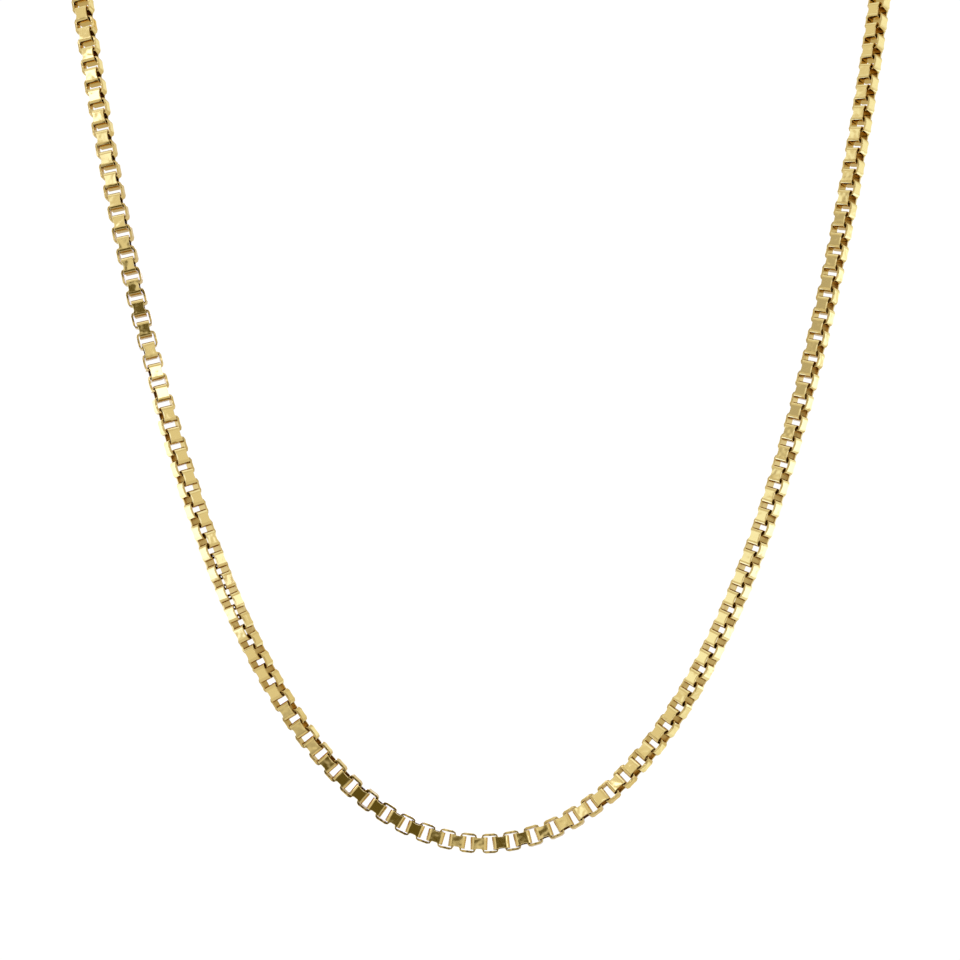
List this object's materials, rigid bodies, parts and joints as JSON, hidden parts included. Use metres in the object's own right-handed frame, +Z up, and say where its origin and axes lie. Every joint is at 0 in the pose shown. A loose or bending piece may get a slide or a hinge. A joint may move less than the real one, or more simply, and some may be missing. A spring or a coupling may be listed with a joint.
{
  "type": "box chain necklace",
  "caption": "Yellow gold box chain necklace: square links of flat strip interlock at right angles in one closed loop that hangs in a deep U, with a plain barrel clasp at the nape.",
  "frame": {"origin": "the point of the nape that the middle of the clasp rests against", "axes": "+Z up, -Y to the front where the chain hangs, +X to the viewer's right seen from the front"},
  "size_m": [0.1202, 0.1129, 0.1396],
  "materials": {
    "chain_gold": "polished yellow gold",
    "clasp_gold": "polished yellow gold"
  },
  "bodies": {
    "root": {"chain_front": "chain_gold", "chain_back": "chain_gold", "clasp": "clasp_gold"}
  },
  "joints": []
}
